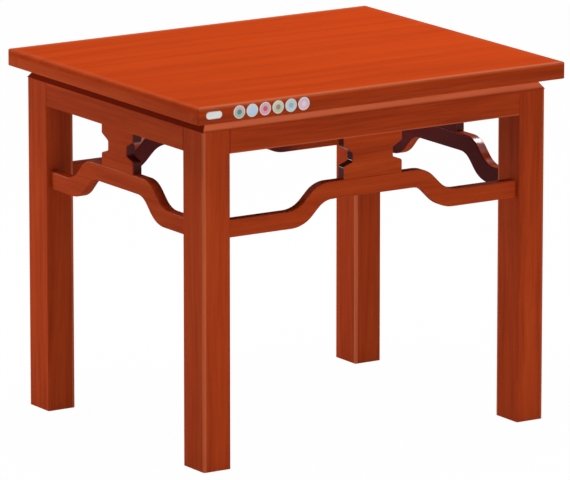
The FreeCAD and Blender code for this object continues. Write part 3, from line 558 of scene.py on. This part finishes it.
# blank oval plate at the left end of the front edge, in rings from its back to its middle
plateLow, plateHigh = boxOf("oval_plate")
plateRadius = (plateHigh[2] - plateLow[2]) / 2.0
plate = {
    "x": (plateLow[0] + plateHigh[0]) / 2.0, "faceY": panelLow[1],
    "height": (plateLow[2] + plateHigh[2]) / 2.0,
    "radius": plateRadius, "straight": (plateHigh[0] - plateLow[0]) / 2.0 - plateRadius,
    "thick": panelLow[1] - plateLow[1], "steps": 64, "borderRings": 4,
    "inset": (0.0, 0.0, 0.0004, 0.0010, 0.0014, 0.0030, 0.0055, 0.0070),
    "lift": (0.0, 0.55, 0.9, 0.9, 0.6, 0.72, 0.9, 1.0),
    "border": colour(206, 206, 204), "field": colour(238, 238, 236), "roughness": 0.22, "coat": 0.2,
}


def makePlate(setup):
    # rings of a stadium drawn in from the edge, with a raised border and a low crown
    steps, rings = setup["steps"], len(setup["inset"])
    lift = np.array(setup["lift"]) * setup["thick"]
    angle = np.linspace(0.0, 2.0 * np.pi, steps, endpoint=False) + np.pi / steps
    reach = (setup["radius"] - np.array(setup["inset"]))[:, None]
    x = setup["x"] + np.sign(np.cos(angle)) * setup["straight"] + reach * np.cos(angle)
    z = setup["height"] + reach * np.sin(angle)
    y = np.repeat((setup["faceY"] - lift)[:, None], steps, axis=1)
    points = np.stack([x, y, z], -1).reshape(-1, 3)
    faces = gridFaces(rings, steps, True).tolist()
    faces += [list(range(steps)), list(range((rings - 1) * steps, rings * steps))]
    onBorder = np.arange(rings)[:, None] < setup["borderRings"]
    tints = np.repeat(np.where(onBorder, setup["border"], setup["field"]), steps, axis=0)
    addPiece("ovalPlate", points, faces, "cover",
             tintedMaterial("plateEnamel", setup["roughness"], setup["coat"]),
             "oval_plate", tints)


makePlate(plate)
print("badges and plate done")

# felt glued on the deck, with the console hole and the four tile slots cut out, each with its gap
feltHigh = boxOf("play_felt")[1]
consoleHigh = boxOf("console_top")[1]
frontLow, frontHigh = boxOf("lift_carriage_front")
rightLow, rightHigh = boxOf("lift_carriage_right")
slotGap = 0.002
holeGap = 0.0025
felt = {
    "half": (feltHigh[0], feltHigh[1]), "top": feltHigh[2], "thick": 0.0009, "step": 0.007,
    "hole": consoleHigh[0] + holeGap, "square": 0.13, "rings": 6,
    "slotAway": ((rightLow[0] + rightHigh[0]) / 2.0, -(frontLow[1] + frontHigh[1]) / 2.0),
    "slotHalf": frontHigh[0] + slotGap, "slotSide": (frontHigh[1] - frontLow[1]) / 2.0 + slotGap,
    "nap": 0.00008, "ripple": (91.0, 53.0, 87.0),
    "low": colour(14, 78, 52), "high": colour(38, 120, 82),
    "fluff": (900.0, 3.0, 0.7), "patch": (14.0, 2.0, 0.5), "fluffShare": 0.7,
    "bump": 0.35, "bumpDepth": 0.0006,
    "rough": 0.95, "shine": 0.1, "sheen": 0.4,
}


def cutLines(stops, step):
    # stops on both sides of the middle, joined by equal steps no longer than step
    stops = np.unique(np.round(np.concatenate([stops, -np.array(stops)]), 6))
    runs = []
    for start, end in zip(stops[:-1], stops[1:]):
        runs.append(np.linspace(start, end, int(np.ceil((end - start) / step)) + 1)[:-1])
    return np.concatenate(runs + [stops[-1:]])


def feltMaterial(setup):
    material, shader, spot = newMaterial(
        "greenFelt", Roughness=setup["rough"], Specular_IOR_Level=setup["shine"],
        Sheen_Weight=setup["sheen"])
    fluff = spot.noise(*setup["fluff"])
    patch = spot.noise(*setup["patch"])
    mixed = fluff * setup["fluffShare"] + patch * (1.0 - setup["fluffShare"])
    join(shader, Base_Color=mixed.smooth(*toneRange).blend(setup["low"], setup["high"]),
         Normal=fluff.bump(setup["bump"], setup["bumpDepth"]))
    return material


def makeFelt(setup):
    # flat grid without the cut cells; round the hole, rings run from the circle out to a square
    away, side, half = setup["slotAway"], setup["slotSide"], setup["slotHalf"]
    square = setup["square"]
    x = cutLines([setup["half"][0], away[0] - side, away[0] + side, half, square], setup["step"])
    y = cutLines([setup["half"][1], away[1] - side, away[1] + side, half, square], setup["step"])
    flatX, flatY = np.meshgrid(x, y)
    quads = gridFaces(len(y), len(x), False)
    midX = np.abs(flatX.ravel()[quads].mean(1))
    midY = np.abs(flatY.ravel()[quads].mean(1))
    cut = (midX < half) & (np.abs(midY - away[1]) < side)
    cut |= (midY < half) & (np.abs(midX - away[0]) < side)
    cut |= (midX < square) & (midY < square)
    rim = np.isclose(np.maximum(np.abs(flatX), np.abs(flatY)), square)
    rimX, rimY = flatX[rim], flatY[rim]
    order = np.argsort(np.arctan2(rimY, rimX))
    edge = np.stack([rimX[order], rimY[order]], -1)
    circle = edge / np.linalg.norm(edge, axis=1)[:, None] * setup["hole"]
    share = np.linspace(0.0, 1.0, setup["rings"])[:, None, None]
    rings = (circle + (edge - circle) * share).reshape(-1, 2)
    spread = np.concatenate([np.stack([flatX.ravel(), flatY.ravel()], -1), rings])
    faces = np.concatenate([quads[~cut], gridFaces(setup["rings"], len(edge), True) + flatX.size])
    used, faces = np.unique(faces, return_inverse=True)
    flatX, flatY = spread[used].T
    # nap: a sine along x, bent by y, times a sine along y
    alongX, bending, alongY = setup["ripple"]
    nap = np.sin(flatX * alongX + np.sin(flatY * bending)) * np.sin(flatY * alongY)
    points = np.column_stack([flatX, flatY, setup["top"] - setup["nap"] * (1.0 + nap) / 2.0])
    piece = addPiece("playFelt", points, faces.reshape(-1, 4).tolist(), "table", feltMaterial(setup),
                     "play_felt")
    thick = piece.modifiers.new("thickness", "SOLIDIFY")
    thick.thickness = setup["thick"]
    thick.offset = -1.0 if piece.data.polygons[0].normal.z > 0 else 1.0
    width, length = 2 * setup["half"][0], 2 * setup["half"][1]
    slots = 4 * (2 * half) * (2 * side)
    area = width * length - np.pi * setup["hole"] ** 2 - slots


makeFelt(felt)

# felt pads under the cover panel, two on each rim, nearer together on the short ones
padLow, padHigh = boxOf("cover_pads")
pads = {
    "size": (0.030, 0.014, padHigh[2] - padLow[2]), "middle": (padLow[2] + padHigh[2]) / 2.0,
    "outer": (padHigh[0], padHigh[1]),
    "longAway": 0.260, "shortAway": 0.130, "boxiness": 0.22, "rows": 11, "steps": 40,
    "low": colour(46, 30, 26), "high": colour(92, 64, 54), "fluff": (1100.0, 3.0, 0.5),
    "rough": 0.95, "shine": 0.1, "sheen": 0.3,
}


def makePads(setup):
    # each pad a superellipsoid: signed powers of cosines and sines, near to a soft-edged box
    def power(values):
        return np.sign(values) * np.abs(values) ** setup["boxiness"]

    rows, steps = setup["rows"], setup["steps"]
    rise = np.linspace(-np.pi / 2, np.pi / 2, rows + 2)[1:-1, None]
    turn = np.linspace(0.0, 2 * np.pi, steps, endpoint=False)[None, :]
    unit = np.stack([
        power(np.cos(rise)) * power(np.cos(turn)),
        power(np.cos(rise)) * power(np.sin(turn)),
        power(np.sin(rise)) * np.ones_like(turn),
    ], -1).reshape(-1, 3)
    half = np.array(setup["size"]) / 2.0
    onLong = (setup["longAway"], setup["outer"][1] - half[1])
    onShort = (setup["outer"][0] - half[1], setup["shortAway"])
    shapes = []
    for signX in (-1, 1):
        for signY in (-1, 1):
            for away, order in ((onLong, [0, 1, 2]), (onShort, [1, 0, 2])):
                shapes.append(unit * half[order] + (away[0] * signX, away[1] * signY, setup["middle"]))
    ends = np.arange(rows * steps).reshape(rows, steps)[[0, -1]]
    faces = repeated(gridFaces(rows, steps, True), len(shapes), len(unit))
    faces += repeated(ends, len(shapes), len(unit))
    material, shader, spot = newMaterial(
        "padFelt", Roughness=setup["rough"], Specular_IOR_Level=setup["shine"],
        Sheen_Weight=setup["sheen"])
    fluff = spot.noise(*setup["fluff"])
    join(shader, Base_Color=fluff.smooth(*toneRange).blend(setup["low"], setup["high"]))
    piece = addPiece("coverPads", np.concatenate(shapes), faces, "cover", material, "cover_pads")


makePads(pads)
print("felt and pads done")

# two dice with dimpled pips, one and four in red; sides are axis, sign and number of pips
diceLow, diceHigh = boxOf("dice")
dice = {
    "low": diceLow, "high": diceHigh, "half": (diceHigh[2] - diceLow[2]) / 2.0, "round": 0.0016, "steps": 40,
    "pip": 0.176, "onePip": 1.35, "spacing": 0.46, "deep": 0.00035, "roughness": 0.2, "coat": 0.3,
    "bone": colour(238, 236, 228), "red": colour(190, 30, 34), "black": colour(24, 24, 28),
    "sides": [(2, 1, 1), (2, -1, 6), (0, 1, 2), (0, -1, 5), (1, 1, 3), (1, -1, 4)],
    "pips": {
        1: [(0, 0)], 2: [(-1, -1), (1, 1)], 3: [(-1, -1), (0, 0), (1, 1)],
        4: [(-1, -1), (-1, 1), (1, -1), (1, 1)], 5: [(-1, -1), (-1, 1), (0, 0), (1, -1), (1, 1)],
        6: [(-1, -1), (-1, 0), (-1, 1), (1, -1), (1, 0), (1, 1)],
    },
}


def makeDice(setup):
    # cube grid pulled to a rounded cube: nearest point of an inner cube plus the rounding radius
    line = np.linspace(-1.0, 1.0, setup["steps"])
    across, along = [item.ravel() for item in np.meshgrid(line, line)]
    half, radius = setup["half"], setup["round"]
    places = (np.array(setup["low"]) + half, np.array(setup["high"]) - half)
    points, tints = [], []
    for place in places:
        for axis, sign, count in setup["sides"]:
            cube = np.zeros((len(across), 3))
            cube[:, axis] = sign
            cube[:, (axis + 1) % 3] = across
            cube[:, (axis + 2) % 3] = along
            cube *= half
            core = np.clip(cube, radius - half, half - radius)
            gap = cube - core
            shape = core + gap / np.linalg.norm(gap, axis=1)[:, None] * radius
            spots = np.array(setup["pips"][count]) * setup["spacing"]
            near = np.hypot(across[:, None] - spots[:, 0], along[:, None] - spots[:, 1]).min(1)
            size = setup["pip"] * (setup["onePip"] if count == 1 else 1.0)
            bowl = np.clip(1.0 - (near / size) ** 2, 0.0, 1.0)
            shape[:, axis] -= sign * setup["deep"] * bowl
            ink = setup["red"] if count in (1, 4) else setup["black"]
            tints.append(np.where((near < size)[:, None], ink, setup["bone"]))
            points.append(shape + place)
    faces = repeated(gridFaces(setup["steps"], setup["steps"], False), len(points), len(across))
    addPiece("diceWithPips", np.concatenate(points), faces, "console",
             tintedMaterial("diceBone", setup["roughness"], setup["coat"]),
             "dice", np.concatenate(tints))


makeDice(dice)
print("dice done")

# finishes of the machine pieces: two tones clouded together, a fine surface
finishes = {
    "glideNylon": {
        "low": (40, 40, 42), "high": (58, 58, 60), "rough": 0.6, "scale": 300.0,
        "on": ["foot_glides"],
    },
    "boardWood": {
        "low": (168, 132, 92), "high": (196, 160, 118), "rough": 0.7, "scale": 90.0,
        "on": ["deck_board"],
    },
    "screwSteel": {
        "low": (150, 150, 154), "high": (188, 188, 192), "rough": 0.35, "metal": 1.0, "scale": 900.0,
        "on": ["machine_screws"],
    },
    "traySteel": {
        "low": (54, 56, 60), "high": (66, 68, 72), "rough": 0.5, "scale": 700.0, "bump": 0.15,
        "on": ["base_tray"],
    },
    "drumPlastic": {
        "low": (196, 196, 190), "high": (208, 208, 203), "rough": 0.45, "scale": 500.0,
        "on": ["drum_wall"],
    },
    "columnAlloy": {
        "low": (176, 178, 182), "high": (200, 202, 206), "rough": 0.3, "metal": 1.0, "scale": 400.0,
        "on": ["centre_column"],
    },
    "discPlastic": {
        "low": (60, 104, 92), "high": (74, 122, 108), "rough": 0.42, "scale": 420.0,
        "on": ["shuffle_disc"],
    },
    "motorSteel": {
        "low": (92, 95, 100), "high": (116, 119, 124), "rough": 0.4, "metal": 0.6, "scale": 500.0,
        "on": ["drum_motor", "lift_actuators", "pickup_motors"],
    },
    "driveRubber": {
        "low": (22, 22, 23), "high": (36, 36, 37), "rough": 0.85, "scale": 800.0, "bump": 0.4,
        "on": ["drum_drive_wheel", "pickup_wheel_front_left", "pickup_wheel_front_right",
               "pickup_wheel_rear_left", "pickup_wheel_rear_right"],
    },
    "consoleGloss": {
        "low": (26, 26, 30), "high": (34, 34, 38), "rough": 0.16, "coat": 0.4, "scale": 300.0,
        "on": ["console_body"],
    },
    "buttonRed": {
        "low": (176, 32, 30), "high": (196, 42, 38), "rough": 0.3, "coat": 0.3, "scale": 500.0,
        "on": ["dice_button"],
    },
    "buttonBlue": {
        "low": (38, 78, 160), "high": (50, 92, 178), "rough": 0.3, "coat": 0.3, "scale": 500.0,
        "on": ["lift_button"],
    },
    "guidePlastic": {
        "low": (210, 210, 205), "high": (222, 222, 218), "rough": 0.5, "scale": 500.0,
        "on": ["lift_guides", "tile_chutes"],
    },
    "carriagePlastic": {
        "low": (18, 80, 54), "high": (34, 108, 74), "rough": 0.85, "scale": 600.0, "bump": 0.3,
        "on": ["lift_carriage_front", "lift_carriage_right", "lift_carriage_rear", "lift_carriage_left"],
    },
    "supplyMetal": {
        "low": (150, 152, 156), "high": (166, 168, 172), "rough": 0.45, "metal": 0.7, "scale": 600.0,
        "on": ["power_supply"],
    },
    "glandPlastic": {
        "low": (30, 30, 31), "high": (44, 44, 45), "rough": 0.55, "scale": 700.0,
        "on": ["cable_gland"],
    },
    "switchPlastic": {
        "low": (150, 28, 26), "high": (166, 36, 32), "rough": 0.32, "scale": 500.0,
        "on": ["power_switch"],
    },
    "circuitBoard": {
        "low": (24, 86, 48), "high": (44, 120, 68), "rough": 0.4, "coat": 0.2, "scale": 160.0,
        "on": ["control_board"],
    },
}
surface = {
    "cloudScale": 0.1, "cloudDetail": 4.0, "speckScale": 4.0, "speckDetail": 2.0, "roughness": 0.5,
    "cloudShare": 0.7, "roughSpread": 0.12, "bump": 0.08, "bumpDepth": 0.0003, "coatRoughness": 0.08,
}


def makeFinish(name, setup):
    # clouds and specks, their scales in proportion to the finish's own, mix the two tones
    material, shader, spot = newMaterial(
        name, Metallic=setup.get("metal", 0.0), Coat_Weight=setup.get("coat", 0.0),
        Coat_Roughness=surface["coatRoughness"])
    cloudScale = setup["scale"] * surface["cloudScale"]
    speckScale = setup["scale"] * surface["speckScale"]
    cloud = spot.noise(cloudScale, surface["cloudDetail"], surface["roughness"])
    speck = spot.noise(speckScale, surface["speckDetail"], surface["roughness"])
    mixed = cloud * surface["cloudShare"] + speck * (1.0 - surface["cloudShare"])
    tone = mixed.smooth(*toneRange).blend(colour(*setup["low"]), colour(*setup["high"]))
    rough = setup["rough"] - surface["roughSpread"] / 2.0 + speck * surface["roughSpread"]
    join(shader, Base_Color=tone, Roughness=rough,
         Normal=speck.bump(setup.get("bump", surface["bump"]), surface["bumpDepth"]))
    dress(material, *setup["on"])


for finishName, finishSetup in finishes.items():
    makeFinish(finishName, finishSetup)

# window over the dice
window = {
    "tint": (0.93, 0.97, 0.96, 1.0), "refraction": 1.49,
    "smear": (60.0, 3.0, 0.5), "rough": 0.02, "roughSmear": 0.05,
}


def makeWindow(setup):
    # clear acrylic with faint smears in its polish
    material, shader, spot = newMaterial(
        "windowClear", IOR=setup["refraction"], Transmission_Weight=1.0, Base_Color=setup["tint"])
    join(shader, Roughness=setup["rough"] + spot.noise(*setup["smear"]) * setup["roughSmear"])
    dress(material, "dice_window")


makeWindow(window)

# console top: gloss black with satin metal rings and a short mark for each seat
console = {
    "black": colour(26, 26, 30), "satin": colour(168, 170, 174), "mark": colour(214, 176, 92),
    "rings": ((0.0995, 0.0022), (0.0470, 0.0016)), "markFrom": 0.084, "markTo": 0.092, "markHalf": 0.012,
    "soft": 0.0003, "speck": (900.0, 2.0, 0.5), "metal": 0.9, "coat": 0.4,
    "rough": 0.14, "roughSpeck": 0.08, "roughMetal": 0.16,
}


def makeConsole(setup):
    # rings from the distance to the axis, marks on the two axes
    soft = setup["soft"]

    def past(value, limit):
        return value.smooth(limit - soft, limit + soft)

    material, shader, spot = newMaterial(
        "consoleRings", Coat_Weight=setup["coat"], Coat_Roughness=surface["coatRoughness"])
    x, y, _ = spot.parts()
    reach = (x * x + y * y) ** 0.5
    speck = spot.noise(*setup["speck"])
    metal = 0.0
    for middle, half in setup["rings"]:
        metal = metal + (1.0 - past(abs(reach - middle), half))
    band = past(reach, setup["markFrom"]) * (1.0 - past(reach, setup["markTo"]))
    mark = band * (1.0 - past(nearer(abs(x), abs(y)), setup["markHalf"]))
    tone = mark.blend(metal.blend(setup["black"], setup["satin"]), setup["mark"])
    rough = setup["rough"] + speck * setup["roughSpeck"] + metal * setup["roughMetal"]
    join(shader, Base_Color=tone, Metallic=metal * setup["metal"], Roughness=rough)
    dress(material, "console_top")


makeConsole(console)
print("machine finishes done")

# floor and world: white where they are seen, plain light for the rest
stage = {
    "half": 14.0, "tint": (0.7, 0.7, 0.7, 1.0), "white": (1.0, 1.0, 1.0, 1.0),
    "whiteShare": 0.985, "worldLight": 0.08,
}


def seenRays(tree):
    # 1 on rays that come straight from the camera, from a reflection or through a clear piece
    path = tree.nodes.new("ShaderNodeLightPath")
    camera, glossy, clear = [
        Sock(tree, path.outputs[f"Is {kind} Ray"]) for kind in ("Camera", "Glossy", "Transmission")]
    return farther(farther(camera, glossy), clear)


def makeFloor(setup):
    half = setup["half"]
    corners = [(-half, -half, 0.0), (half, -half, 0.0), (half, half, 0.0), (-half, half, 0.0)]
    sheet = bpy.data.meshes.new("floor")
    sheet.from_pydata(corners, [], [(0, 1, 2, 3)])
    floor = bpy.data.objects.new("floor", sheet)
    bpy.context.scene.collection.objects.link(floor)
    material = bpy.data.materials.new("floorWhite")
    material.use_nodes = True
    material.node_tree.nodes.clear()
    seen = seenRays(material.node_tree)
    matt = seen.node("BsdfDiffuse", None, {"Color": setup["tint"]})
    white = seen.node("Emission", None, {"Color": setup["white"], "Strength": 1.0})
    both = seen.node("MixShader", None, {0: seen * setup["whiteShare"], 1: matt, 2: white})
    seen.node("OutputMaterial", None, {"Surface": both})
    sheet.materials.append(material)


def makeWorld(setup):
    world = bpy.data.worlds.new("studio")
    bpy.context.scene.world = world
    world.use_nodes = True
    world.node_tree.nodes.clear()
    seen = seenRays(world.node_tree)
    level = setup["worldLight"] + seen * (1.0 - setup["worldLight"])
    back = seen.node("Background", None, {"Color": setup["white"], "Strength": level})
    seen.node("OutputWorld", None, {"Surface": back})


makeFloor(stage)
makeWorld(stage)

# square area lamps, all aimed at the upper middle of the table
lampAim = (0.0, 0.0, 0.5)
lamps = {
    "over": {"at": (-0.5, 0.0, 4.4), "size": 2.6, "power": 142.0},
    "rightHigh": {"at": (1.78, 0.51, 2.66), "size": 0.9, "power": 38.0},
    "front": {"at": (-0.5, -4.5, 0.8), "size": 1.5, "power": 68.0},
    "rearLeft": {"at": (-2.05, 2.9, 0.8), "size": 0.8, "power": 69.0},
    "rearRight": {"at": (3.6, 2.8, 1.8), "size": 1.6, "power": 30.0},
}


def makeLamps(setup):
    for name, lamp in setup.items():
        light = bpy.data.lights.new(name, "AREA")
        light.size = lamp["size"]
        light.energy = lamp["power"]
        holder = bpy.data.objects.new(name, light)
        bpy.context.scene.collection.objects.link(holder)
        holder.location = lamp["at"]
        aim = Vector(lampAim) - Vector(lamp["at"])
        holder.rotation_euler = aim.to_track_quat("-Z", "Y").to_euler()


makeLamps(lamps)
bpy.context.scene.view_settings.view_transform = "Standard"

print("scene done")
